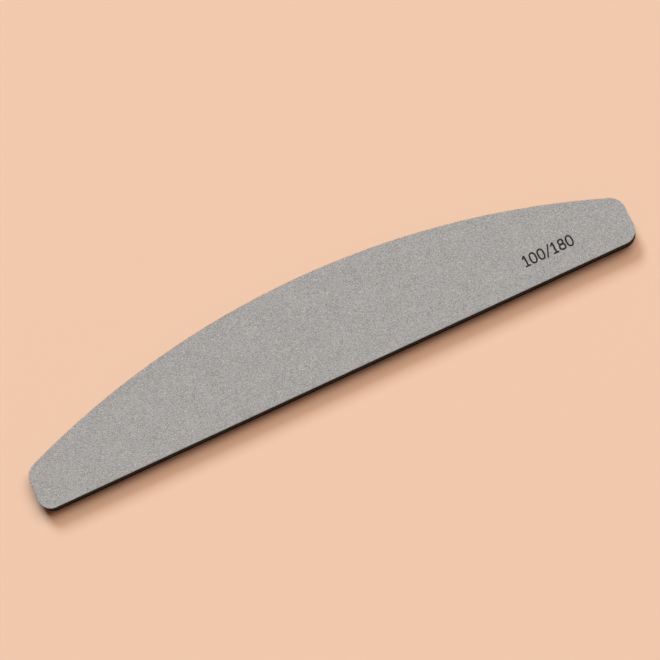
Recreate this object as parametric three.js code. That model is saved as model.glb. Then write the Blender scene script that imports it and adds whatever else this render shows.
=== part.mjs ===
// Half-moon nail file: a die-cut laminate of abrasive papers, foam cushions and a stiff core board.
// Millimetres, +Z up. X runs along the straight edge, +Y points to the crowned edge, and the file lies on its fine side
// with the origin under the middle of its bounding box.
import * as THREE from "three";

// Outline, seen from above
const LENGTH = 178; // along the straight edge
const WIDTH = 30.3; // from the straight edge to the top of the crown
const END_HEIGHT = 12.6; // of the upright ends, measured to where the crown would meet them
const STRAIGHT_CORNER_RADIUS = 3.9; // where an end meets the straight edge
const CROWN_CORNER_RADIUS = 4.6; // where an end meets the crown

// Thickness of each sheet in the laminate
const CORE_THICKNESS = 1.0;
const CORE_FILM_THICKNESS = 0.08; // adhesive between core and foam
const FOAM_THICKNESS = 0.9;
const PAPER_FILM_THICKNESS = 0.08; // adhesive between foam and paper
const PAPER_THICKNESS = 0.25;
const COARSE_COAT_THICKNESS = 0.22; // resin and 100-grit grain
const FINE_COAT_THICKNESS = 0.16; // resin and 180-grit grain

// Edge left by the cutting die
const CORE_ARRIS = 0.12; // chamfer on both faces of the core
const FILM_SETBACK = 0.2; // adhesive stops short of the cut edge
const FOAM_SETBACK = 0.05; // foam springs back from the cut where it is glued
const FOAM_DRAW_IN = 0.14; // and hollows this much more halfway between its glued faces
const COAT_ROLL = 0.18; // width of the rounded rim where the die crushed the grain

// Facets
const CROWN_STEPS = 28;
const CORNER_STEPS = 9;
const FOAM_STEPS = 4;
const ROLL_STEPS = 3;

// Circle that the crown follows, through the tops of both ends and the middle of the wide side
const CROWN_RISE = WIDTH - END_HEIGHT;
const CROWN_RADIUS = ((LENGTH / 2) ** 2 + CROWN_RISE ** 2) / (2 * CROWN_RISE);
const CROWN_CENTRE_Y = WIDTH / 2 - CROWN_RADIUS;

// Centres of the right-hand corners: one touches the straight edge and the end, the other the end and the crown
const STRAIGHT_CORNER_X = LENGTH / 2 - STRAIGHT_CORNER_RADIUS;
const STRAIGHT_CORNER_Y = STRAIGHT_CORNER_RADIUS - WIDTH / 2;
const CROWN_CORNER_X = LENGTH / 2 - CROWN_CORNER_RADIUS;
const CROWN_CORNER_Y = CROWN_CENTRE_Y + Math.sqrt((CROWN_RADIUS - CROWN_CORNER_RADIUS) ** 2 - CROWN_CORNER_X ** 2);
const CROWN_START = Math.atan2(CROWN_CORNER_Y - CROWN_CENTRE_Y, CROWN_CORNER_X);

const finishes = {
  coarse_grit: new THREE.MeshStandardMaterial({ color: 0xa7a5a1, roughness: 0.9, metalness: 0 }),
  fine_grit: new THREE.MeshStandardMaterial({ color: 0xadaba7, roughness: 0.85, metalness: 0 }),
  backing_paper: new THREE.MeshStandardMaterial({ color: 0x3a3937, roughness: 0.9, metalness: 0 }),
  adhesive: new THREE.MeshStandardMaterial({ color: 0x1d1c1a, roughness: 0.35, metalness: 0 }),
  foam: new THREE.MeshStandardMaterial({ color: 0x171716, roughness: 0.95, metalness: 0 }),
  core: new THREE.MeshStandardMaterial({ color: 0x141414, roughness: 0.5, metalness: 0 }),
};

function arc(x, y, radius, from, to, steps) {
  return new THREE.EllipseCurve(x, y, radius, radius, from, to).getPoints(steps);
}

// The half-moon, moved in from the cut edge by the same distance all round. Its arcs keep their centres, so outlines at
// different insets have matching points.
function halfMoon(inset) {
  const low = STRAIGHT_CORNER_RADIUS - inset;
  const high = CROWN_CORNER_RADIUS - inset;
  const crown = arc(0, CROWN_CENTRE_Y, CROWN_RADIUS - inset, CROWN_START, Math.PI - CROWN_START, CROWN_STEPS);
  return [
    ...arc(STRAIGHT_CORNER_X, STRAIGHT_CORNER_Y, low, -Math.PI / 2, 0, CORNER_STEPS),
    ...arc(CROWN_CORNER_X, CROWN_CORNER_Y, high, 0, CROWN_START, CORNER_STEPS),
    ...crown.slice(1, -1), // its ends are the corners' own
    ...arc(-CROWN_CORNER_X, CROWN_CORNER_Y, high, Math.PI - CROWN_START, Math.PI, CORNER_STEPS),
    ...arc(-STRAIGHT_CORNER_X, STRAIGHT_CORNER_Y, low, Math.PI, 1.5 * Math.PI, CORNER_STEPS),
  ];
}

// A sheet whose edge profile, a list of { inset, height } from its lower face to its upper one, goes round the half-moon.
function sheetGeometry(profile) {
  const rings = profile.map(({ inset }) => halfMoon(inset));
  const count = rings[0].length;
  const last = (rings.length - 1) * count;
  const positions = rings.flatMap((ring, k) => ring.flatMap((p) => [p.x, p.y, profile[k].height]));

  const faces = [];
  for (let k = 0; k < last; k += count) {
    for (let i = 0; i < count; i++) {
      const next = (i + 1) % count;
      faces.push(k + i, k + next, k + count + next, k + i, k + count + next, k + count + i);
    }
  }
  for (const [a, b, c] of THREE.ShapeUtils.triangulateShape(rings[0], [])) {
    faces.push(a, c, b);
  }
  for (const [a, b, c] of THREE.ShapeUtils.triangulateShape(rings.at(-1), [])) {
    faces.push(last + a, last + b, last + c);
  }

  const geometry = new THREE.BufferGeometry();
  geometry.setAttribute("position", new THREE.Float32BufferAttribute(positions, 3));
  geometry.setIndex(faces);
  geometry.computeVertexNormals();
  return geometry;
}

// Edge profiles

function squareEdge(thickness, inset) {
  return [
    { inset, height: 0 },
    { inset, height: thickness },
  ];
}

function chamferedEdge(thickness, chamfer) {
  return [
    { inset: chamfer, height: 0 },
    { inset: 0, height: chamfer },
    { inset: 0, height: thickness - chamfer },
    { inset: chamfer, height: thickness },
  ];
}

// Half a sine wave, deepest midway between the glued faces
function hollowEdge(thickness, setback, depth) {
  return Array.from({ length: FOAM_STEPS + 1 }, (_, k) => ({
    inset: setback + depth * Math.sin((Math.PI * k) / FOAM_STEPS),
    height: (thickness * k) / FOAM_STEPS,
  }));
}

// Quarter of an ellipse, upright at the paper and level at the working face
function rolledEdge(thickness, roll) {
  return Array.from({ length: ROLL_STEPS + 1 }, (_, k) => {
    const angle = ((Math.PI / 2) * k) / ROLL_STEPS;
    return { inset: roll * (1 - Math.cos(angle)), height: thickness * Math.sin(angle) };
  });
}

function faceDown(profile, thickness) {
  return profile.map(({ inset, height }) => ({ inset, height: thickness - height })).reverse();
}

// Sheets

function coarseGritCoat() {
  return {
    thickness: COARSE_COAT_THICKNESS,
    profile: rolledEdge(COARSE_COAT_THICKNESS, COAT_ROLL),
    finish: finishes.coarse_grit,
  };
}

function fineGritCoat() {
  return {
    thickness: FINE_COAT_THICKNESS,
    profile: faceDown(rolledEdge(FINE_COAT_THICKNESS, COAT_ROLL), FINE_COAT_THICKNESS),
    finish: finishes.fine_grit,
  };
}

function backingPaper() {
  return {
    thickness: PAPER_THICKNESS,
    profile: squareEdge(PAPER_THICKNESS, 0),
    finish: finishes.backing_paper,
  };
}

function adhesiveFilm(thickness) {
  return { thickness, profile: squareEdge(thickness, FILM_SETBACK), finish: finishes.adhesive };
}

function foamCushion() {
  return {
    thickness: FOAM_THICKNESS,
    profile: hollowEdge(FOAM_THICKNESS, FOAM_SETBACK, FOAM_DRAW_IN),
    finish: finishes.foam,
  };
}

function coreBoard() {
  return {
    thickness: CORE_THICKNESS,
    profile: chamferedEdge(CORE_THICKNESS, CORE_ARRIS),
    finish: finishes.core,
  };
}

// The laminate from the table upwards
const laminate = {
  fine_grit_coat: fineGritCoat(),
  lower_backing_paper: backingPaper(),
  lower_paper_adhesive: adhesiveFilm(PAPER_FILM_THICKNESS),
  lower_foam_cushion: foamCushion(),
  lower_core_adhesive: adhesiveFilm(CORE_FILM_THICKNESS),
  core_board: coreBoard(),
  upper_core_adhesive: adhesiveFilm(CORE_FILM_THICKNESS),
  upper_foam_cushion: foamCushion(),
  upper_paper_adhesive: adhesiveFilm(PAPER_FILM_THICKNESS),
  upper_backing_paper: backingPaper(),
  coarse_grit_coat: coarseGritCoat(),
};

const nailFile = new THREE.Group();
let height = 0;
for (const [name, { thickness, profile, finish }] of Object.entries(laminate)) {
  const sheet = new THREE.Mesh(sheetGeometry(profile), finish);
  sheet.name = name;
  sheet.position.z = height;
  nailFile.add(sheet);
  height += thickness;
}

export default nailFile;
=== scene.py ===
"""A half-moon nail file, dressed for the camera.

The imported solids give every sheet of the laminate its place. This script swaps the sheets that show for
finer meshes, with grain on both abrasive faces and the marks of the cutting die round the edge. It prints
the grit number, gives each piece a procedural material, and sets up the floor, the light and the camera.
"""

import logging
import math
from dataclasses import dataclass
from enum import Enum
from typing import Any, NamedTuple, Protocol

import bpy
import numpy as np
from bpy.types import Material, Node, NodeSocket, NodeTree, Object
from mathutils import Matrix, Vector


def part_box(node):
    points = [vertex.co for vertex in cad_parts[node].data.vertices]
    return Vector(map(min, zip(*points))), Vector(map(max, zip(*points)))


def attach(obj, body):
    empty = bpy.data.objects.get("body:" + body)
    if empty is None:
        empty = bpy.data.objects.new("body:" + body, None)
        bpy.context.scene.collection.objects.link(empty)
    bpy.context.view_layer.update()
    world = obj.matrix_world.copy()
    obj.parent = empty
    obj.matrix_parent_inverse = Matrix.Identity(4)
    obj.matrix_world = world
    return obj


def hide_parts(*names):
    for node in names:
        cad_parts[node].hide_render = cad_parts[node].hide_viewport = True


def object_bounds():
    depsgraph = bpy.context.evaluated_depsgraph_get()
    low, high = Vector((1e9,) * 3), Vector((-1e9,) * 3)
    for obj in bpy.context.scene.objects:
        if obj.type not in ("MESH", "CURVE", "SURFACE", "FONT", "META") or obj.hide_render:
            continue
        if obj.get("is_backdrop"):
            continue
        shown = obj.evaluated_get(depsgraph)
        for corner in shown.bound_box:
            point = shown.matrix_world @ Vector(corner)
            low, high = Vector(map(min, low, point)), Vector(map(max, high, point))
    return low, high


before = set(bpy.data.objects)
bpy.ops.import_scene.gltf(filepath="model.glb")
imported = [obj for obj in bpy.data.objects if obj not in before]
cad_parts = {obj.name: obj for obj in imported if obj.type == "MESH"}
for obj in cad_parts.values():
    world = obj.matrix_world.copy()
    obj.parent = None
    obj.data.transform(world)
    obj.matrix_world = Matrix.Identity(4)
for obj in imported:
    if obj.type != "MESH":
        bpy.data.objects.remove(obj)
cad_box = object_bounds()

LOG = logging.getLogger("nail_file")
MM = 0.001
BODY = "root"
TINY = 1e-6
HEX_COLUMN = math.sqrt(3) / 2  # distance between the columns of a hexagonal lattice, in pitches
FREE = 1.5  # distance from an outline, in pitches, beyond which a lattice point may move at random

# Sockets of a colour mix, by number because Blender gives them the same names for every kind of value
SHARE, FIRST, SECOND, MIXED = 0, 6, 7, 2

Source = Node | NodeSocket  # what feeds an input: a socket, or a node that gives its first output


# Small helpers


def linear(hex_colour: str) -> tuple[float, float, float, float]:
    """Turn an sRGB hex colour into a linear one.

    Args:
        hex_colour: Six hex digits, red first.

    Returns:
        Linear red, green and blue, and an alpha of 1.
    """
    srgb = np.array([int(hex_colour[k : k + 2], 16) for k in (0, 2, 4)]) / 255
    rgb = np.where(srgb <= 0.04045, srgb / 12.92, ((srgb + 0.055) / 1.055) ** 2.4)
    return (*rgb.tolist(), 1.0)


def feed(tree: NodeTree, node: Node, inputs: dict[Any, Any]) -> None:
    """Set or link inputs of a node.

    Args:
        tree: Node tree that holds the node.
        node: Node to feed.
        inputs: By socket name or number, a plain value or a source to link from.
    """
    for socket, value in inputs.items():
        source = value.outputs[0] if isinstance(value, Node) else value
        if isinstance(source, NodeSocket):
            tree.links.new(source, node.inputs[socket])
        else:
            node.inputs[socket].default_value = source


def add_node(tree: NodeTree, kind: str, inputs: dict[Any, Any], **settings: Any) -> Node:
    """Add a shader node with its settings, plain inputs and links.

    Args:
        tree: Node tree that gets the node.
        kind: Blender's name for the node type, without the ShaderNode that it starts with.
        inputs: By socket name or number, a plain value or a source to link from.
        **settings: Attributes of the node itself.

    Returns:
        The new node.
    """
    node = tree.nodes.new(f"ShaderNode{kind}")
    for name, setting in settings.items():
        setattr(node, name, setting)
    feed(tree, node, inputs)
    return node


def fade(
    tree: NodeTree, values: Source, span: tuple[float, float], first: str, second: str
) -> tuple[Node, NodeSocket]:
    """Fade from one colour to another over a span of a pattern's values.

    Args:
        tree: Node tree that gets the nodes.
        values: The pattern.
        span: Value at which the second colour starts to show, and value at which it shows fully.
        first: First colour, in sRGB hex.
        second: Second colour, in sRGB hex.

    Returns:
        The share of the second colour, and the colour.
    """
    start, full = span
    share = add_node(tree, "MapRange", {"Value": values, "From Min": start, "From Max": full})
    colours = {FIRST: linear(first), SECOND: linear(second)}
    mixed = add_node(tree, "Mix", {SHARE: share, **colours}, data_type="RGBA")
    return share, mixed.outputs[MIXED]


def mesh_object(name: str, points: np.ndarray, faces: list[np.ndarray], smooth: bool) -> Object:
    """Put whole arrays of points and faces into a new mesh object at the origin.

    Args:
        name: Name of the object and its mesh.
        points: Places in metres, one row each.
        faces: Arrays of point numbers, one row to a face, each array with its own number of corners.
        smooth: Whether faces are shaded smooth.

    Returns:
        The object, linked to the scene.
    """
    corners = np.concatenate([part.ravel() for part in faces])
    counts = np.concatenate([np.full(len(part), part.shape[1]) for part in faces])
    mesh = bpy.data.meshes.new(name)
    mesh.vertices.add(len(points))
    mesh.vertices.foreach_set("co", points.astype(np.float32).ravel())
    mesh.loops.add(len(corners))
    mesh.loops.foreach_set("vertex_index", corners.astype(np.int32))
    mesh.polygons.add(len(counts))
    mesh.polygons.foreach_set("loop_start", (np.cumsum(counts) - counts).astype(np.int32))
    mesh.polygons.foreach_set("use_smooth", np.full(len(counts), smooth))
    mesh.update(calc_edges=True)
    piece = bpy.data.objects.new(name, mesh)
    bpy.context.scene.collection.objects.link(piece)
    return piece


def loop_noise(count: int, knots: int, rng: np.random.Generator) -> np.ndarray:
    """Draw smooth noise on a closed loop.

    Formula: random values from -1 to 1 at evenly spaced knots, joined by straight runs, with the last run
    ending at the first knot.

    Args:
        count: Number of places round the loop.
        knots: Number of random values round the loop.
        rng: Source of random numbers.

    Returns:
        One value for each place.
    """
    values = rng.uniform(-1, 1, knots)
    return np.interp(np.arange(count) * knots / count, np.arange(knots + 1), np.append(values, values[0]))


# Outlines and the meshes made from them


class Outline(Protocol):
    """A closed shape in the plane that can say how far a point is from its edge."""

    def measure(self, x: np.ndarray, y: np.ndarray) -> tuple[np.ndarray, np.ndarray, np.ndarray]:
        """Give signed distances to the edge, negative inside, and both parts of the outward normals."""
        ...


@dataclass(frozen=True)
class HalfMoon:
    """Outline that the die cuts: a straight edge, a crown and four corner arcs, each tangent to the next.

    Sizes are in metres. A point moved in along its normal lies on the outline at that inset, because every
    arc keeps its centre.
    """

    length: float
    width: float
    end_height: float = 12.6 * MM  # to where the crown would meet an end
    straight_corner: float = 3.9 * MM
    crown_corner: float = 4.6 * MM

    @classmethod
    def of_node(cls, node: str) -> "HalfMoon":
        """Take the length and width from a packed sheet that reaches the cut edge."""
        low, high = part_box(node)
        return cls(length=high.x - low.x, width=high.y - low.y)

    @property
    def low(self) -> float:
        """Place of the straight edge on the Y axis."""
        return -self.width / 2

    @property
    def crown_radius(self) -> float:
        """Radius of the circle through the tops of both ends and the top of the crown."""
        rise = self.width - self.end_height
        return ((self.length / 2) ** 2 + rise**2) / (2 * rise)

    @property
    def crown_centre(self) -> np.ndarray:
        """Centre of the crown's circle."""
        return np.array([0.0, self.width / 2 - self.crown_radius])

    @property
    def foot_centre(self) -> np.ndarray:
        """Centre of the right-hand corner at the straight edge."""
        return np.array([self.length / 2 - self.straight_corner, self.low + self.straight_corner])

    @property
    def shoulder_centre(self) -> np.ndarray:
        """Centre of the right-hand corner at the crown, which touches the end and the crown from inside."""
        x = self.length / 2 - self.crown_corner
        reach = self.crown_radius - self.crown_corner
        return np.array([x, self.crown_centre[1] + math.sqrt(reach**2 - x**2)])

    @property
    def crown_start(self) -> float:
        """Angle at which the right-hand corner hands over to the crown."""
        x, y = self.shoulder_centre - self.crown_centre
        return math.atan2(y, x)

    def path(self, step: float) -> tuple[np.ndarray, np.ndarray]:
        """Walk the outline once, counter-clockwise from the right of the straight edge.

        Formula: each arc is its centre plus its radius times a turning normal, and a straight line goes on
        from its end to where the next arc begins.

        Args:
            step: Wanted distance between points, in metres.

        Returns:
            The points and their outward normals, one row each.
        """
        start, mirror = self.crown_start, np.array([-1.0, 1.0])
        foot, shoulder = self.foot_centre, self.shoulder_centre
        arcs = [
            (foot, self.straight_corner, -math.pi / 2, 0.0),
            (shoulder, self.crown_corner, 0.0, start),
            (self.crown_centre, self.crown_radius, start, math.pi - start),
            (shoulder * mirror, self.crown_corner, math.pi - start, math.pi),
            (foot * mirror, self.straight_corner, math.pi, 1.5 * math.pi),
        ]
        points, normals = [], []
        for (centre, radius, begin, end), (ahead, ahead_radius, _, _) in zip(arcs, arcs[1:] + arcs[:1]):
            angles = begin + self.shares(radius * (end - begin), step) * (end - begin)
            turned = np.column_stack([np.cos(angles), np.sin(angles)])
            facing = np.array([math.cos(end), math.sin(end)])
            leave, arrive = centre + radius * facing, ahead + ahead_radius * facing
            line = leave + self.shares(np.linalg.norm(arrive - leave), step)[:, None] * (arrive - leave)
            points += [centre + radius * turned, line]
            normals += [turned, np.broadcast_to(facing, line.shape)]
        return np.concatenate(points), np.concatenate(normals)

    @staticmethod
    def shares(run: float, step: float) -> np.ndarray:
        """Split a run into even shares of about a step, without its far end, and no run into none."""
        count = math.ceil(run / step - TINY)
        return np.arange(count) / max(count, 1)

    def measure(self, x: np.ndarray, y: np.ndarray) -> tuple[np.ndarray, np.ndarray, np.ndarray]:
        """Give signed distances to the cut edge.

        Formula: each line and arc answers only for the points that face it, a line with the height above it
        and an arc with the distance from its centre less its radius. The largest answer is the distance.

        Args:
            x: Places along the file.
            y: Places across the file.

        Returns:
            Distances, negative inside, and both parts of the outward normals.
        """
        side, away = np.where(x < 0, -1.0, 1.0), np.abs(x)
        foot, shoulder, crown = self.foot_centre, self.shoulder_centre, self.crown_centre
        turn = np.arctan2(y - shoulder[1], away - shoulder[0])
        faced = [
            away <= foot[0],
            (y >= foot[1]) & (y <= shoulder[1]),
            (away > foot[0]) & (y < foot[1]),
            (away > shoulder[0]) & (turn >= 0) & (turn <= self.crown_start),
            np.arctan2(y - crown[1], away) >= self.crown_start,
        ]
        radii = [self.straight_corner, self.crown_corner, self.crown_radius]
        legs = [(away - centre[0], y - centre[1]) for centre in (foot, shoulder, crown)]
        reaches = [np.hypot(*leg) for leg in legs]
        past_arcs = [reach - radius for reach, radius in zip(reaches, radii)]
        distances = np.where(faced, [self.low - y, away - self.length / 2, *past_arcs], -np.inf)
        none, whole = np.zeros_like(x), np.ones_like(x)
        turned = [(leg[0] / reach, leg[1] / reach) for leg, reach in zip(legs, reaches)]
        normals = np.array([(none, -whole), (whole, none), *turned])
        best = np.argmax(distances, axis=0)[None]
        across, up = (np.take_along_axis(normals[:, part], best, 0)[0] for part in (0, 1))
        return np.take_along_axis(distances, best, 0)[0], side * across, up


@dataclass(frozen=True)
class Lattice:
    """Triangles that fill an outline."""

    points: np.ndarray  # places in the plane, one row each
    triangles: np.ndarray  # point numbers, three to a row
    normals: np.ndarray  # the outline's outward normals at the points

    @classmethod
    def fill(
        cls,
        outline: Outline,
        low: np.ndarray,
        high: np.ndarray,
        pitch: float,
        inset: float = 0.0,
        jitter: float = 0.0,
        seed: int = 0,
    ) -> "Lattice":
        """Fill an outline with a hexagonal lattice.

        Formula: odd columns stand half a pitch higher than even ones. A point within half a pitch of the
        outline moves onto it along its normal, points well inside move at random, and a triangle stays if
        its corners are all inside or on the outline and one of them is inside.

        Args:
            outline: Shape to fill.
            low: Lowest corner of a box round the shape.
            high: Highest corner of that box.
            pitch: Distance between neighbouring points.
            inset: Distance by which the filled shape lies inside the outline.
            jitter: Largest random move of an inner point, in pitches.
            seed: Seed of the random moves.

        Returns:
            The filled shape, with only the points that its triangles use.
        """
        columns, rows = np.ceil((high - low) / pitch / [HEX_COLUMN, 1]).astype(int) + 3
        i, j = np.meshgrid(np.arange(columns), np.arange(rows), indexing="ij")
        x = low[0] + (i - 1) * pitch * HEX_COLUMN
        y = low[1] + (j - 1 + 0.5 * (i % 2)) * pitch
        distance, across, up = outline.measure(x, y)
        distance = distance + inset
        on_edge = np.abs(distance) <= pitch / 2
        inside = distance < -pitch / 2
        moves = np.random.default_rng(seed).uniform(-jitter, jitter, (2, *x.shape)) * pitch
        moves = np.where(distance < -FREE * pitch, moves, 0.0)
        pulls = np.where(on_edge, distance, 0.0)
        points = np.stack([x + moves[0] - pulls * across, y + moves[1] - pulls * up], -1).reshape(-1, 2)

        here = (i * rows + j)[:-1, :-1]
        above, right, beyond = here + 1, here + rows, here + rows + 1
        even = (i % 2 == 0)[:-1, :-1]
        first = np.stack([here, right, np.where(even, above, beyond)], -1)
        second = np.stack([np.where(even, right, here), beyond, above], -1)
        triangles = np.concatenate([first.reshape(-1, 3), second.reshape(-1, 3)])
        kept = (on_edge | inside).ravel()[triangles].all(1) & inside.ravel()[triangles].any(1)
        used, triangles = np.unique(triangles[kept], return_inverse=True)
        normals = np.stack([across, up], -1).reshape(-1, 2)[used]
        return cls(points[used], triangles.reshape(-1, 3), normals)

    def edge(self) -> np.ndarray:
        """List the edges that only one triangle uses.

        Returns:
            Two point numbers for each edge, in the direction that has the inside on the left.
        """
        corners = self.triangles
        edges = np.concatenate([corners[:, [0, 1]], corners[:, [1, 2]], corners[:, [2, 0]]])
        _, place, uses = np.unique(np.sort(edges, 1), axis=0, return_index=True, return_counts=True)
        return edges[place[uses == 1]]


def carried_sheet(
    name: str, points: np.ndarray, normals: np.ndarray, insets: np.ndarray, heights: np.ndarray
) -> Object:
    """Carry an edge profile round a convex outline and close both faces.

    Formula: row k of the edge lies at each outline point less its normal times inset k, at height k. Each
    face is a fan from its middle.

    Args:
        name: Name of the piece.
        points: Outline points, counter-clockwise.
        normals: Outward normals at those points.
        insets: Inset of each row at each point, from the lower face to the upper one.
        heights: Height of each row, in metres.

    Returns:
        The finished mesh object.
    """
    rows, count = insets.shape
    rings = points[None] - insets[..., None] * normals[None]
    levels = np.broadcast_to(heights[:, None, None], (rows, count, 1))
    wall = np.concatenate([rings, levels], -1).reshape(-1, 3)
    middles = np.array([[0.0, 0.0, heights[0]], [0.0, 0.0, heights[-1]]])
    here = np.arange(rows * count).reshape(rows, count)
    after = np.roll(here, -1, axis=1)
    quads = np.stack([here[:-1], after[:-1], after[1:], here[1:]], -1).reshape(-1, 4)
    lower_middle = np.full(count, rows * count)
    lower = np.column_stack([lower_middle, after[0], here[0]])
    upper = np.column_stack([lower_middle + 1, here[-1], after[-1]])
    return mesh_object(name, np.concatenate([wall, middles]), [quads, lower, upper], smooth=True)


# Finishes


class Pattern(NamedTuple):
    """What changes over a surface."""

    colour: Source
    dull: Source  # share of the way from the finish's first roughness to its second
    height: Source  # of the relief, as a share of its depth


@dataclass(frozen=True, kw_only=True)
class Finish:
    """A material by its common name. Subclasses draw its pattern."""

    name: str
    ior: float
    specular: float
    roughness: tuple[float, float]
    bump: float  # strength of the relief
    depth: float  # of the relief, in metres

    def pattern(self, tree: NodeTree, place: NodeSocket) -> Pattern:
        """Draw what changes over the surface.

        Args:
            tree: Node tree of the material.
            place: Place on the piece, in metres.

        Returns:
            The colour, dullness and height.
        """
        raise NotImplementedError

    def material(self) -> Material:
        """Give the material, made when it is first asked for."""
        return bpy.data.materials.get(self.name) or self.make()

    def make(self) -> Material:
        """Make the material with its pattern.

        Returns:
            The new material.
        """
        material = bpy.data.materials.new(self.name)
        material.use_nodes = True
        tree = material.node_tree
        drawn = self.pattern(tree, add_node(tree, "TexCoord", {}).outputs["Object"])
        first, second = self.roughness
        dull = add_node(tree, "MapRange", {"Value": drawn.dull, "To Min": first, "To Max": second})
        raised = {"Height": drawn.height, "Strength": self.bump, "Distance": self.depth}
        relief = add_node(tree, "Bump", raised)
        varied = {"Base Color": drawn.colour, "Roughness": dull, "Normal": relief}
        even = {"IOR": self.ior, "Specular IOR Level": self.specular}
        feed(tree, tree.nodes["Principled BSDF"], {**varied, **even})
        return material


@dataclass(frozen=True, kw_only=True)
class AbrasiveGrain(Finish):
    """Crushed mineral grain in grey resin, electrostatically coated: matt and speckled, with painted glints
    and painted shade.
    """

    dark: str
    pale: str
    # The next two greys are a painted glint on a few grains, and painted shade in the gap where a grain is
    # missing.
    painted_glint: str
    hollow: str
    grain: float  # size of a grain, in metres
    facet: float  # size of a broken facet on a grain, in metres
    odd_share: float = 0.015  # of grains with a painted glint, and of missing grains, whose gap is painted shade
    cloud: float = 5.0 * MM  # size of the patches in which the coat is a little thicker or thinner
    cloud_span: tuple[float, float] = (0.25, 0.75)  # noise of the darkest and of the palest patches
    cloud_share: float = 0.06  # of the way from dark to pale

    def pattern(self, tree: NodeTree, place: NodeSocket) -> Pattern:
        """Give each grain its own tone and gloss, paint a glint or gap shade on a few, and break its
        surface into facets.

        Args:
            tree: Node tree of the material.
            place: Place on the piece, in metres.

        Returns:
            The colour, dullness and height.
        """
        grains = add_node(tree, "TexVoronoi", {"Vector": place, "Scale": 1 / self.grain})
        draws = add_node(tree, "SeparateColor", {"Color": grains.outputs["Color"]}).outputs
        patches = add_node(tree, "TexNoise", {"Vector": place, "Scale": 1 / self.cloud})
        least, most = self.cloud_span
        span = {"From Min": least, "From Max": most}
        shift = {"To Min": -self.cloud_share, "To Max": self.cloud_share}
        clouds = add_node(tree, "MapRange", {"Value": patches, **span, **shift})
        share = add_node(tree, "Math", {0: draws["Red"], 1: clouds}, operation="ADD")
        greys = {FIRST: linear(self.dark), SECOND: linear(self.pale)}
        tone = add_node(tree, "Mix", {SHARE: share, **greys}, data_type="RGBA").outputs[MIXED]
        # A few grains get a paler grey as a painted glint, and a few a darker grey as painted shade where a
        # grain is missing.
        odd_grains = (
            ("GREATER_THAN", 1 - self.odd_share, self.painted_glint),
            ("LESS_THAN", self.odd_share, self.hollow),
        )
        for test, limit, colour in odd_grains:
            odd = add_node(tree, "Math", {0: draws["Green"], 1: limit}, operation=test)
            greys = {FIRST: tone, SECOND: linear(colour)}
            tone = add_node(tree, "Mix", {SHARE: odd, **greys}, data_type="RGBA").outputs[MIXED]
        facets = add_node(tree, "TexVoronoi", {"Vector": place, "Scale": 1 / self.facet})
        return Pattern(tone, draws["Blue"], facets)


@dataclass(frozen=True, kw_only=True)
class Flecked(Finish):
    """A plain body with marks of a second colour, such as fibres, streaks or dust."""

    body: str
    mark: str
    spacing: float  # of the marks, in metres
    squeeze: float = 1.0  # of the marks through the thickness, below 1 where they are drawn out
    detail: float
    raggedness: float = 0.5
    span: tuple[float, float]  # of the noise, from where marks start to show to where they show fully

    def pattern(self, tree: NodeTree, place: NodeSocket) -> Pattern:
        """Draw the marks by noise that is squeezed through the thickness.

        Args:
            tree: Node tree of the material.
            place: Place on the piece, in metres.

        Returns:
            The colour, dullness and height.
        """
        squeezed = add_node(tree, "Mapping", {"Vector": place, "Scale": (1, 1, self.squeeze)})
        noise = {"Scale": 1 / self.spacing, "Detail": self.detail, "Roughness": self.raggedness}
        marks = add_node(tree, "TexNoise", {"Vector": squeezed, **noise})
        shown, tone = fade(tree, marks, self.span, self.body, self.mark)
        return Pattern(tone, shown, marks)


@dataclass(frozen=True, kw_only=True)
class CutFoam(Finish):
    """Black closed-cell foam, cut through: dull, with painted shade in open cells between thin paler walls.
    """

    wall: str
    # darker colour painted in the middle of each cell, as the shade in its hollow
    painted_pit_shade: str
    cell: float
    wall_span: tuple[float, float] = (0.3, 0.04)  # distance to the next cell, in cells, where walls show

    def pattern(self, tree: NodeTree, place: NodeSocket) -> Pattern:
        """Paint shade into the middle of each cell, and leave its wall paler and higher.

        Args:
            tree: Node tree of the material.
            place: Place on the piece, in metres.

        Returns:
            The colour, dullness and height.
        """
        sized = {"Vector": place, "Scale": 1 / self.cell}
        cells = add_node(tree, "TexVoronoi", sized, feature="DISTANCE_TO_EDGE")
        # The colour fades from the painted shade in the cell to the wall's own colour.
        walls, tone = fade(tree, cells, self.wall_span, self.painted_pit_shade, self.wall)
        return Pattern(tone, walls, walls)


@dataclass(frozen=True, kw_only=True)
class PadPrintedInk(Finish):
    """Black pad-printing ink on grit: matt, and thin over some grain tips, which show as grey points."""

    body: str
    tip: str
    grain: float
    tip_share: float = 0.12  # of grains that show through, some more than others

    def pattern(self, tree: NodeTree, place: NodeSocket) -> Pattern:
        """Let some of the grains show through the ink, and all of them shape it.

        Args:
            tree: Node tree of the material.
            place: Place on the piece, in metres.

        Returns:
            The colour, dullness and height.
        """
        grains = add_node(tree, "TexVoronoi", {"Vector": place, "Scale": 1 / self.grain})
        draws = add_node(tree, "SeparateColor", {"Color": grains.outputs["Color"]}).outputs
        _, tone = fade(tree, draws["Red"], (1 - self.tip_share, 1.0), self.body, self.tip)
        return Pattern(tone, draws["Green"], grains)


COARSE_GRIT = AbrasiveGrain(
    name="alumina_100_grit_in_grey_resin",
    ior=1.6,
    specular=0.35,
    roughness=(0.62, 0.95),
    bump=0.5,
    depth=0.0275 * MM,
    dark="8a8582",
    pale="b9b5b1",
    # paler grey for a painted glint, darker grey for painted shade where a grain is missing
    painted_glint="d0cdc8",
    hollow="615f5d",
    grain=0.17 * MM,
    facet=0.11 * MM,
)
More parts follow.
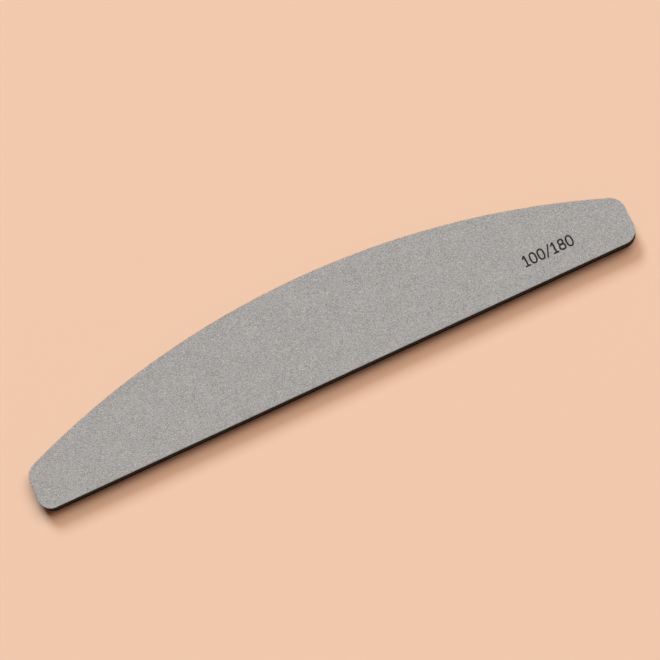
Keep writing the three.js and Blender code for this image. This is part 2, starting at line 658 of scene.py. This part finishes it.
# Grain of 180 grit is about 0.08 mm across. It is drawn coarser, because it would melt into one grey.
FINE_GRIT = AbrasiveGrain(
    name="alumina_180_grit_in_grey_resin",
    ior=1.6,
    specular=0.35,
    roughness=(0.62, 0.95),
    bump=0.5,
    depth=0.02 * MM,
    dark="92908d",
    pale="b9b6b3",
    # paler grey for a painted glint, darker grey for painted shade where a grain is missing
    painted_glint="d0cdc9",
    hollow="6a6866",
    grain=0.13 * MM,
    facet=0.08 * MM,
)
# Heavy paper filled with black latex and cut through is matt, with short pale fibres that lie flat.
BACKING_PAPER = Flecked(
    name="latex_paper_die_cut",
    ior=1.5,
    specular=0.3,
    roughness=(0.86, 0.98),
    bump=0.6,
    depth=0.03 * MM,
    body="1e1e1c",
    mark="474643",
    spacing=0.12 * MM,
    squeeze=3.0,
    detail=3.0,
    raggedness=0.65,
    span=(0.5, 0.75),
)
FOAM = CutFoam(
    name="closed_cell_foam_die_cut",
    ior=1.45,
    specular=0.15,
    roughness=(0.98, 0.7),
    bump=0.7,
    depth=0.0425 * MM,
    wall="242423",
    # painted shade in the open cells
    painted_pit_shade="0e0e0e",
    cell=0.17 * MM,
)
# Black extruded polystyrene, sheared by a steel rule, is satin and streaked upright. The blade's streaks
# are about 0.05 mm wide. They are drawn wider, because they would melt into one black.
CORE = Flecked(
    name="polystyrene_sheet_sheared",
    ior=1.59,
    specular=0.3,
    roughness=(0.4, 0.7),
    bump=0.7,
    depth=0.075 * MM,
    body="0b0b0b",
    mark="1f1e1d",
    spacing=0.3 * MM,
    squeeze=0.12,
    detail=4.0,
    raggedness=0.6,
    span=(0.35, 0.65),
)
# Dark acrylic transfer adhesive, pressed between two sheets, is glossy, and dull where dust sticks to it.
ADHESIVE = Flecked(
    name="acrylic_transfer_film_pressed",
    ior=1.47,
    specular=0.4,
    roughness=(0.25, 0.8),
    bump=0.4,
    depth=0.0375 * MM,
    body="141312",
    mark="36332f",
    spacing=0.15 * MM,
    detail=2.0,
    span=(0.5, 0.7),
)
INK = PadPrintedInk(
    name="pad_printing_ink_on_grit",
    ior=1.5,
    specular=0.2,
    roughness=(0.6, 0.9),
    bump=0.4,
    depth=0.05 * MM,
    body="191918",
    tip="4c4a48",
    grain=0.2 * MM,
)


# Sheets of the laminate


class Facing(Enum):
    """Side of the file that an abrasive sheet faces."""

    UP = 1
    DOWN = -1


@dataclass(frozen=True, kw_only=True)
class Sheet:
    """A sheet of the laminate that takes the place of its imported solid. Subclasses make its mesh."""

    node: str
    slot: str
    finish: Finish
    outline: HalfMoon
    seed: int

    def build(self) -> Object:
        """Make the sheet's mesh where its solid is."""
        raise NotImplementedError

    def dress(self, piece: Object) -> Object:
        """Give the sheet its finish, and let it ride and stand for its solid.

        Args:
            piece: Mesh object of the sheet.

        Returns:
            The same object, finished.
        """
        piece.data.materials.append(self.finish.material())
        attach(piece, BODY)
        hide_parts(self.node)
        return piece


@dataclass(frozen=True, kw_only=True)
class GritCoat(Sheet):
    """Abrasive coat of one face: grain over the whole face and a rim that the die rolled over."""

    facing: Facing
    pitch: float  # distance between grains, wider than the real one to keep the mesh moderate
    relief: float = 0.05 * MM  # from the tallest grain down to the deepest gap
    crowding: float = 1.3  # above 1, most grains stand near the top
    jitter: float = 0.3  # largest move of a grain, in pitches
    roll: float = 0.18 * MM
    roll_rows: int = 3
    chip: float = 0.05 * MM  # deepest chip in the rolled rim
    chip_rarity: float = 3.0  # above 1, most chips are shallow

    def build(self) -> Object:
        """Make the coat.

        Formula: every lattice point of the face stands lower than the tallest grain by a random share of
        the relief. The rim is a quarter of an ellipse, carried out along the normals from the face's edge
        to the paper. The glued side is a fan.

        Returns:
            The mesh object.
        """
        low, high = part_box(self.node)
        thickness = high.z - low.z
        rng = np.random.default_rng(self.seed)
        face = Lattice.fill(
            self.outline,
            np.array(low.xy),
            np.array(high.xy),
            self.pitch,
            inset=self.roll,
            jitter=self.jitter,
            seed=self.seed,
        )
        grain = thickness - self.relief * rng.random(len(face.points)) ** self.crowding

        edge = face.edge()
        rim = np.unique(edge)
        rim_edge = np.searchsorted(rim, edge)
        angles = np.linspace(math.pi / 2, 0, self.roll_rows + 1)[1:, None]
        chips = self.chip * rng.random((self.roll_rows, len(rim))) ** self.chip_rarity
        reach = self.roll * np.cos(angles) - chips
        rings = face.points[rim] + reach[..., None] * face.normals[rim]
        levels = np.broadcast_to(np.sin(angles) * grain[rim], reach.shape)

        count = len(face.points)
        ids = np.concatenate([rim[None], count + np.arange(reach.size).reshape(reach.shape)])
        starts, ends = ids[:, rim_edge[:, 0]], ids[:, rim_edge[:, 1]]
        quads = np.stack([starts[:-1], starts[1:], ends[1:], ends[:-1]], -1).reshape(-1, 4)
        middle = np.full(len(edge), count + reach.size)
        fan = np.column_stack([middle, ends[-1], starts[-1]])

        flat = np.concatenate([face.points, rings.reshape(-1, 2), [[0.0, 0.0]]])
        above = np.concatenate([grain, levels.ravel(), [0.0]])
        faces = [face.triangles, quads, fan]
        glued = low.z
        if self.facing is Facing.DOWN:
            glued, above = high.z, -above
            faces = [corners[:, ::-1] for corners in faces]
        points = np.column_stack([flat, glued + above])
        return mesh_object(self.node.replace("coat", "face"), points, faces, smooth=False)


@dataclass(frozen=True, kw_only=True)
class EdgeSheet(Sheet):
    """A sheet that shows only at its cut edge. Subclasses give the edge its profile."""

    step: float = 0.11 * MM  # between points along the edge
    rows: int = 5

    def insets(self, along: np.ndarray, up: np.ndarray, rng: np.random.Generator) -> np.ndarray:
        """Give the inset of the edge at each height and each place along it.

        Args:
            along: Distances round the outline.
            up: Heights above the lower face.
            rng: Source of random numbers.

        Returns:
            One row for each height.
        """
        raise NotImplementedError

    def heights(self, thickness: float) -> np.ndarray:
        """Give the heights of the edge's rows above the lower face, evenly spaced."""
        return np.linspace(0, thickness, self.rows)

    def build(self) -> Object:
        """Make the sheet.

        Returns:
            The mesh object.
        """
        low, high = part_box(self.node)
        points, normals = self.outline.path(self.step)
        steps = np.linalg.norm(np.roll(points, -1, axis=0) - points, axis=1)
        along = np.cumsum(steps) - steps
        up = self.heights(high.z - low.z)
        insets = self.insets(along, up, np.random.default_rng(self.seed))
        return carried_sheet(f"{self.node}_cut", points, normals, insets, low.z + up)


@dataclass(frozen=True, kw_only=True)
class BackingPaper(EdgeSheet):
    """Paper under the grit, with fibres that fray a little at the cut."""

    fray: float = 0.02 * MM
    fray_run: float = 0.2 * MM
    chance: float = 0.3  # share of the fray that changes from point to point

    def insets(self, along: np.ndarray, up: np.ndarray, rng: np.random.Generator) -> np.ndarray:
        """Fray each row by smooth noise along the edge and a little by chance, never past the cut.

        Args:
            along: Distances round the outline.
            up: Heights above the lower face.
            rng: Source of random numbers.

        Returns:
            Insets, one row for each height.
        """
        knots = int((along[-1] + self.step) / self.fray_run)
        smooth = np.array([loop_noise(len(along), knots, rng) for _ in up])
        loose = rng.uniform(-1, 1, smooth.shape)
        return self.fray * (1 + (1 - self.chance) * smooth + self.chance * loose) / 2


@dataclass(frozen=True, kw_only=True)
class FoamCushion(EdgeSheet):
    """Foam that sprang back from the die: hollow between its glued faces, with its cells cut open."""

    setback: float = 0.05 * MM  # where it is glued
    draw_in: float = 0.14 * MM  # more than that, halfway up
    cell: float = 0.17 * MM
    smallest: float = 0.04 * MM  # radius of a bubble
    largest: float = 0.12 * MM
    openness: float = 0.8  # share of a bubble's depth that the cut opened

    def insets(self, along: np.ndarray, up: np.ndarray, rng: np.random.Generator) -> np.ndarray:
        """Hollow the edge and open its cells.

        Formula: half a sine wave from one glued face to the other, plus the deepest of the bubbles that
        reach a point. One bubble sits at random in each square of a grid. At distance d from its centre a
        bubble of radius r is a share of sqrt(r^2 - d^2) deep.

        Args:
            along: Distances round the outline.
            up: Heights above the lower face.
            rng: Source of random numbers.

        Returns:
            Insets, one row for each height.
        """
        loop = along[-1] + self.step
        hollow = self.setback + self.draw_in * np.sin(np.pi * up / up[-1])
        around, layers = round(loop / self.cell), math.ceil(up[-1] / self.cell) + 2
        squares = np.stack(np.meshgrid(np.arange(around), np.arange(layers) - 1.0, indexing="ij"))
        centres = (squares + rng.random(squares.shape)) * self.cell
        radii = rng.uniform(self.smallest, self.largest, (around, layers))
        column = np.floor(along / self.cell).astype(int)[None]
        layer = np.floor(up / self.cell).astype(int)[:, None] + 1
        depth = np.zeros((len(up), len(along)))
        for beside in (-1, 0, 1):
            for above in (-1, 0, 1):
                at = (column + beside) % around, np.clip(layer + above, 0, layers - 1)
                aside = along[None] - centres[0][at]
                aside -= loop * np.round(aside / loop)
                left = radii[at] ** 2 - aside**2 - (up[:, None] - centres[1][at]) ** 2
                depth = np.maximum(depth, np.sqrt(np.clip(left, 0, None)))
        return hollow[:, None] + self.openness * depth

    def dress(self, piece: Object) -> Object:
        return super().dress(piece)


@dataclass(frozen=True, kw_only=True)
class CoreBoard(EdgeSheet):
    """Stiff core with broken edges: the blade streaked its cut, and the lower part of the cut tore."""

    arris: float = 0.12 * MM
    streak: float = 0.03 * MM
    streak_run: float = 0.3 * MM
    tear: float = 0.03 * MM
    sheared_share: float = 0.55  # of the thickness, from the top down to where the cut tore

    def heights(self, thickness: float) -> np.ndarray:
        """Give even rows between the two broken edges, with each face's own row beyond them."""
        inner = np.linspace(self.arris, thickness - self.arris, self.rows)
        return np.concatenate([[0], inner, [thickness]])

    def insets(self, along: np.ndarray, up: np.ndarray, rng: np.random.Generator) -> np.ndarray:
        """Break both edges, streak the cut by smooth noise, and roughen its torn part by chance.

        Args:
            along: Distances round the outline.
            up: Heights above the lower face.
            rng: Source of random numbers.

        Returns:
            Insets, one row for each height.
        """
        broken = np.clip(self.arris - np.minimum(up, up[-1] - up), 0, None)
        knots = int((along[-1] + self.step) / self.streak_run)
        streaks = self.streak * (1 + loop_noise(len(along), knots, rng)) / 2
        torn = np.clip(1 - up / (up[-1] * (1 - self.sheared_share)), 0, 1)
        rough = self.tear * torn[:, None] * rng.random((len(up), len(along)))
        return broken[:, None] + streaks[None] + rough


# Grit number


@dataclass(frozen=True)
class Bar:
    """A straight stroke between two points, with square ends, in millimetres."""

    start: tuple[float, float]
    end: tuple[float, float]
    stroke: float

    def distance(self, x: np.ndarray, y: np.ndarray) -> np.ndarray:
        """Give the distance to the stroke's edge, as the larger of those past its end and past its side.

        Args:
            x: Places along the base line.
            y: Places above the base line.

        Returns:
            Distances, negative inside.
        """
        start, end = np.array(self.start), np.array(self.end)
        length = np.linalg.norm(end - start)
        along = (end - start) / length
        x, y = x - (start[0] + end[0]) / 2, y - (start[1] + end[1]) / 2
        past_end = np.abs(x * along[0] + y * along[1]) - length / 2
        past_side = np.abs(y * along[0] - x * along[1]) - self.stroke / 2
        return np.maximum(past_end, past_side)


@dataclass(frozen=True)
class Ring:
    """A stroke round a superellipse, a little fuller than an ellipse, in millimetres."""

    centre: tuple[float, float]
    across: float
    high: float
    stroke: float
    power: float = 2.35

    def distance(self, x: np.ndarray, y: np.ndarray) -> np.ndarray:
        """Give about the distance to the stroke's edge.

        Formula: the p-th root of |x / a|^p + |y / b|^p is 1 on the curve. Its difference from 1, over its
        slope, is about the distance to the curve, and half a stroke comes off that.

        Args:
            x: Places along the base line.
            y: Places above the base line.

        Returns:
            Distances, negative inside.
        """
        a, b, power = self.across / 2, self.high / 2, self.power
        x, y = np.abs(x - self.centre[0]) / a, np.abs(y - self.centre[1]) / b
        scale = np.maximum((x**power + y**power) ** (1 / power), TINY)
        slope = np.hypot(x ** (power - 1) / a, y ** (power - 1) / b) * scale ** (1 - power)
        return np.abs(scale - 1) / np.maximum(slope, TINY) - self.stroke / 2


@dataclass(frozen=True)
class GritNumber:
    """The plain number of both grits, 100/180, printed on the coarse face and read along the straight edge.

    Digits and strokes are laid out in millimetres from the left end of the base line.
    """

    outline: HalfMoon
    base_x: float = 57.7 * MM  # left end of the base line, from the middle of the file
    base_y: float = 5.65 * MM  # base line above the straight edge
    tilt: float = math.radians(0.55)  # of the base line, to the straight edge
    lean: float = math.radians(1.5)  # of the digits, backwards
    height: float = 3.36
    stroke: float = 0.47
    ones: tuple[float, ...] = (0.78, 9.26)
    flag: tuple[float, float] = (0.74, 0.84)  # of a one, to the left of its stem and down from its start
    flag_start: float = 0.05  # of that flag, below the top
    foot: tuple[float, float] = (0.8, 0.73)  # of a one, to both sides of its stem
    noughts: tuple[float, ...] = (2.88, 5.23, 13.72)
    nought_across: float = 1.62
    eight: float = 11.41
    eight_across: tuple[float, float] = (1.58, 1.27)  # its lower and its upper bowl
    waist: float = 0.513  # of the eight, as a share of its height
    slash: tuple[float, float] = (6.54, 8.0)  # its foot and its top
    slash_stroke: float = 0.41
    overshoot: float = 0.12  # of the slash, past the digits
    room: tuple[float, float] = (17.0 * MM, 6.0 * MM)  # box that the number fits in
    margin: float = 1.0 * MM  # of that box before the base line, and of the start above the grain
    pitch: float = 0.07 * MM
    nudge: float = 0.0014 * MM  # over which a distance's slope is taken
    film: float = 0.015 * MM
    lift: float = 0.012 * MM  # of the ink above the grain

    def strokes(self) -> list[Bar | Ring]:
        """List the strokes of every character.

        Returns:
            Bars and rings, in millimetres from the left end of the base line.
        """
        height, stroke, half = self.height, self.stroke, self.stroke / 2
        made: list[Bar | Ring] = []
        top, (back, down) = height - self.flag_start, self.flag
        for stem in self.ones:
            made += [
                Bar((stem, 0), (stem, height), stroke),
                Bar((stem - back, top - down), (stem, top), stroke),
                Bar((stem - self.foot[0], half), (stem + self.foot[1], half), stroke),
            ]
        for middle in self.noughts:
            made.append(Ring((middle, height / 2), self.nought_across, height - stroke, stroke))
        waist, (lower, upper) = self.waist * height, self.eight_across
        made.append(Ring((self.eight, (half + waist) / 2), lower, waist - half, stroke))
        made.append(Ring((self.eight, (waist + height - half) / 2), upper, height - half - waist, stroke))
        from_x, to_x = self.slash
        made.append(Bar((from_x, -self.overshoot), (to_x, height + self.overshoot), self.slash_stroke))
        return made

    def reach(self, x: np.ndarray, y: np.ndarray) -> np.ndarray:
        """Give the distance to the nearest stroke's edge.

        Args:
            x: Places along the file.
            y: Places across the file.

        Returns:
            Distances in metres, negative inside.
        """
        x, y = (x - self.base_x) / MM, (y - self.outline.low - self.base_y) / MM
        cos, sin = math.cos(self.tilt), math.sin(self.tilt)
        x, y = x * cos + y * sin, y * cos - x * sin
        x = x + y * math.tan(self.lean)
        return MM * np.min([stroke.distance(x, y) for stroke in self.strokes()], axis=0)

    def measure(self, x: np.ndarray, y: np.ndarray) -> tuple[np.ndarray, np.ndarray, np.ndarray]:
        """Give the distance to the ink's edge, and its slope by small differences as the outward normal.

        Args:
            x: Places along the file.
            y: Places across the file.

        Returns:
            Distances, negative inside, and both parts of the outward normals.
        """
        distance = self.reach(x, y)
        across = self.reach(x + self.nudge, y) - self.reach(x - self.nudge, y)
        up = self.reach(x, y + self.nudge) - self.reach(x, y - self.nudge)
        length = np.maximum(np.hypot(across, up), TINY * MM)
        return distance, across / length, up / length

    def build(self, coat: Object) -> Object:
        """Lay the number on the coarse face.

        Formula: the strokes are filled by a lattice, dropped on the grain from above, and given the ink's
        thickness.

        Args:
            coat: Finished coarse face that carries the ink.

        Returns:
            The mesh object.
        """
        low = np.array([self.base_x, self.outline.low + self.base_y]) - self.margin
        ink = Lattice.fill(self, low, low + self.room, self.pitch)
        start = np.full(len(ink.points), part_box("coarse_grit_coat")[1].z + self.margin)
        points = np.column_stack([ink.points, start])
        piece = mesh_object("grit_number", points, [ink.triangles], smooth=False)
        drop = piece.modifiers.new("drop_on_grain", "SHRINKWRAP")
        drop.target = coat
        drop.wrap_method = "PROJECT"
        drop.use_project_z = True
        drop.use_positive_direction = False
        drop.use_negative_direction = True
        drop.offset = self.lift
        thicken = piece.modifiers.new("ink_film", "SOLIDIFY")
        thicken.thickness = self.film
        thicken.offset = 1.0
        return piece

    def dress(self, piece: Object) -> Object:
        """Ink the number and let it ride."""
        piece.data.materials.append(INK.material())
        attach(piece, BODY)
        return piece


# The whole file


@dataclass(frozen=True)
class NailFile:
    """The whole laminate, from the table upwards."""

    outline: HalfMoon

    def sheets(self) -> list[Sheet]:
        """List the sheets that get a finer mesh.

        Returns:
            The sheets, with the coarse coat last.
        """
        outline = self.outline
        cut = {"outline": outline, "slot": "backing_paper", "finish": BACKING_PAPER}
        soft = {"outline": outline, "slot": "foam", "finish": FOAM, "rows": 14}
        return [
            GritCoat(
                node="fine_grit_coat",
                slot="fine_grit",
                finish=FINE_GRIT,
                outline=outline,
                facing=Facing.DOWN,
                pitch=0.245 * MM,
                seed=11,
            ),
            BackingPaper(node="lower_backing_paper", seed=21, **cut),
            FoamCushion(node="lower_foam_cushion", seed=22, **soft),
            CoreBoard(node="core_board", slot="core", finish=CORE, outline=outline, rows=9, seed=41),
            FoamCushion(node="upper_foam_cushion", seed=32, **soft),
            BackingPaper(node="upper_backing_paper", seed=31, **cut),
            GritCoat(
                node="coarse_grit_coat",
                slot="coarse_grit",
                finish=COARSE_GRIT,
                outline=outline,
                facing=Facing.UP,
                pitch=0.24 * MM,
                seed=51,
            ),
        ]

    def build(self) -> list[Object]:
        """Make and dress every piece.

        Returns:
            The pieces, in the order in which they were made.
        """
        pieces = self.dress_films()
        pieces += [sheet.dress(sheet.build()) for sheet in self.sheets()]
        number = GritNumber(self.outline)
        pieces.append(number.dress(number.build(pieces[-1])))
        return pieces

    def dress_films(self) -> list[Object]:
        """Give the four packed adhesive films their material.

        Returns:
            The objects of the films.
        """
        films = [node for name, node in sorted(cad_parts.items()) if name.endswith("_adhesive")]
        for film in films:
            film.data.materials.clear()
            film.data.materials.append(ADHESIVE.material())
        return films


# Studio


@dataclass(frozen=True)
class Softbox:
    """A large rectangular softbox that faces the file from far off."""

    name: str
    elevation: float  # degrees above the floor
    azimuth: float  # degrees from +Y towards +X
    across: float
    tall: float
    watts: float
    colour: tuple[float, float, float]
    distance: float = 24.0

    def build(self) -> Object:
        """Hang the lamp and turn it to the file.

        Returns:
            The lamp's object.
        """
        up, round_z = math.radians(self.elevation), math.radians(self.azimuth)
        level = Vector((math.sin(round_z), math.cos(round_z), 0))
        away = level * math.cos(up) + Vector((0, 0, math.sin(up)))
        side = Vector((0, 0, 1)).cross(away).normalized()
        lamp = bpy.data.lights.new(self.name, "AREA")
        lamp.shape = "RECTANGLE"
        lamp.size = self.across
        lamp.size_y = self.tall
        lamp.energy = self.watts
        lamp.color = self.colour
        held = bpy.data.objects.new(self.name, lamp)
        turned = Matrix((side, away.cross(side), away)).transposed().to_4x4()
        held.matrix_world = Matrix.Translation(away * self.distance) @ turned
        bpy.context.scene.collection.objects.link(held)
        return held


@dataclass(frozen=True)
class Studio:
    """Floor, light and camera round the file.

    The fill is warm like light that a peach floor sends back, and the two softboxes together make up for
    it, so that a level grey renders as a grey.
    """

    floor_colour: str = "f5caad"
    floor_roughness: float = 0.95
    floor_half: float = 6.0  # half of its side, in metres
    fill: float = 0.12
    fill_colour: tuple[float, float, float, float] = (1.0, 0.42, 0.18, 1.0)
    softboxes: tuple[Softbox, ...] = (
        Softbox(
            "high_softbox",
            elevation=56.3,
            azimuth=49.5,
            across=21.3,
            tall=17.6,
            watts=4390.0,
            colour=(1.0, 0.986, 0.927),
        ),
        Softbox(
            "low_softbox",
            elevation=34.4,
            azimuth=-0.3,
            across=9.25,
            tall=7.6,
            watts=5125.0,
            colour=(0.661, 0.852, 1.0),
        ),
    )
    elevation: float = math.radians(75.3)  # of the camera above the floor
    roll: float = math.radians(24.83)  # of the camera about its line of sight
    distance: float = 819.5 * MM
    sensor_mm: float = 36.0
    lens_mm: float = 163.64
    aim: tuple[float, float] = (2.27 * MM, -1.205 * MM)  # place on the floor that the camera looks at

    def build(self) -> None:
        """Set up the floor, the light and the camera."""
        self.build_floor()
        self.build_sky()
        for softbox in self.softboxes:
            softbox.build()
        self.build_camera()
        bpy.context.scene.view_settings.view_transform = "Standard"

    def build_floor(self) -> None:
        """Lay a plain pale floor."""
        half = self.floor_half
        corners = np.array([[-half, -half, 0], [half, -half, 0], [half, half, 0], [-half, half, 0]])
        floor = mesh_object("floor", corners, [np.array([[0, 1, 2, 3]])], smooth=False)
        material = bpy.data.materials.new("painted_board_matt")
        material.use_nodes = True
        tree = material.node_tree
        matt = {"Roughness": self.floor_roughness, "Specular IOR Level": 0.0}
        feed(tree, tree.nodes["Principled BSDF"], {"Base Color": linear(self.floor_colour), **matt})
        floor.data.materials.append(material)
        floor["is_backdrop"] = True

    def build_sky(self) -> None:
        """Fill the shadows a little, and show the floor's colour where a view looks past the floor."""
        world = bpy.data.worlds.new("sky")
        world.use_nodes = True
        tree = world.node_tree
        fill = tree.nodes["Background"]
        feed(tree, fill, {"Color": self.fill_colour, "Strength": self.fill})
        shown = add_node(tree, "Background", {"Color": linear(self.floor_colour), "Strength": 1.0})
        rays = add_node(tree, "LightPath", {}).outputs
        looked: Source = rays["Is Camera Ray"]
        for kind in ("Is Glossy Ray", "Is Transmission Ray"):
            looked = add_node(tree, "Math", {0: looked, 1: rays[kind]}, operation="MAXIMUM")
        sky = add_node(tree, "MixShader", {0: looked, 1: fill, 2: shown})
        feed(tree, tree.nodes["World Output"], {"Surface": sky})
        bpy.context.scene.world = world

    def build_camera(self) -> None:
        """Look down on the file from its straight side, with its right end turned up."""
        back = Vector((0, -math.cos(self.elevation), math.sin(self.elevation)))
        level = Vector((1, 0, 0))
        upright = back.cross(level)
        right = level * math.cos(self.roll) - upright * math.sin(self.roll)
        up = level * math.sin(self.roll) + upright * math.cos(self.roll)
        camera = bpy.data.cameras.new("camera")
        camera.sensor_width = self.sensor_mm
        camera.lens = self.lens_mm
        held = bpy.data.objects.new("camera", camera)
        place = Vector((*self.aim, 0)) + back * self.distance
        held.matrix_world = Matrix.Translation(place) @ Matrix((right, up, back)).transposed().to_4x4()
        bpy.context.scene.collection.objects.link(held)
        bpy.context.scene.camera = held


def main() -> None:
    """Build the file and its studio, and report each piece."""
    logging.basicConfig(level=logging.INFO, format="%(name)s: %(message)s")
    for piece in NailFile(HalfMoon.of_node("core_board")).build():
        LOG.info("%s: %d faces, %s", piece.name, len(piece.data.polygons), piece.active_material.name)
    Studio().build()


if __name__ == "__main__":
    main()
    [[list(corner) for corner in box] for box in (cad_box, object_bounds())]
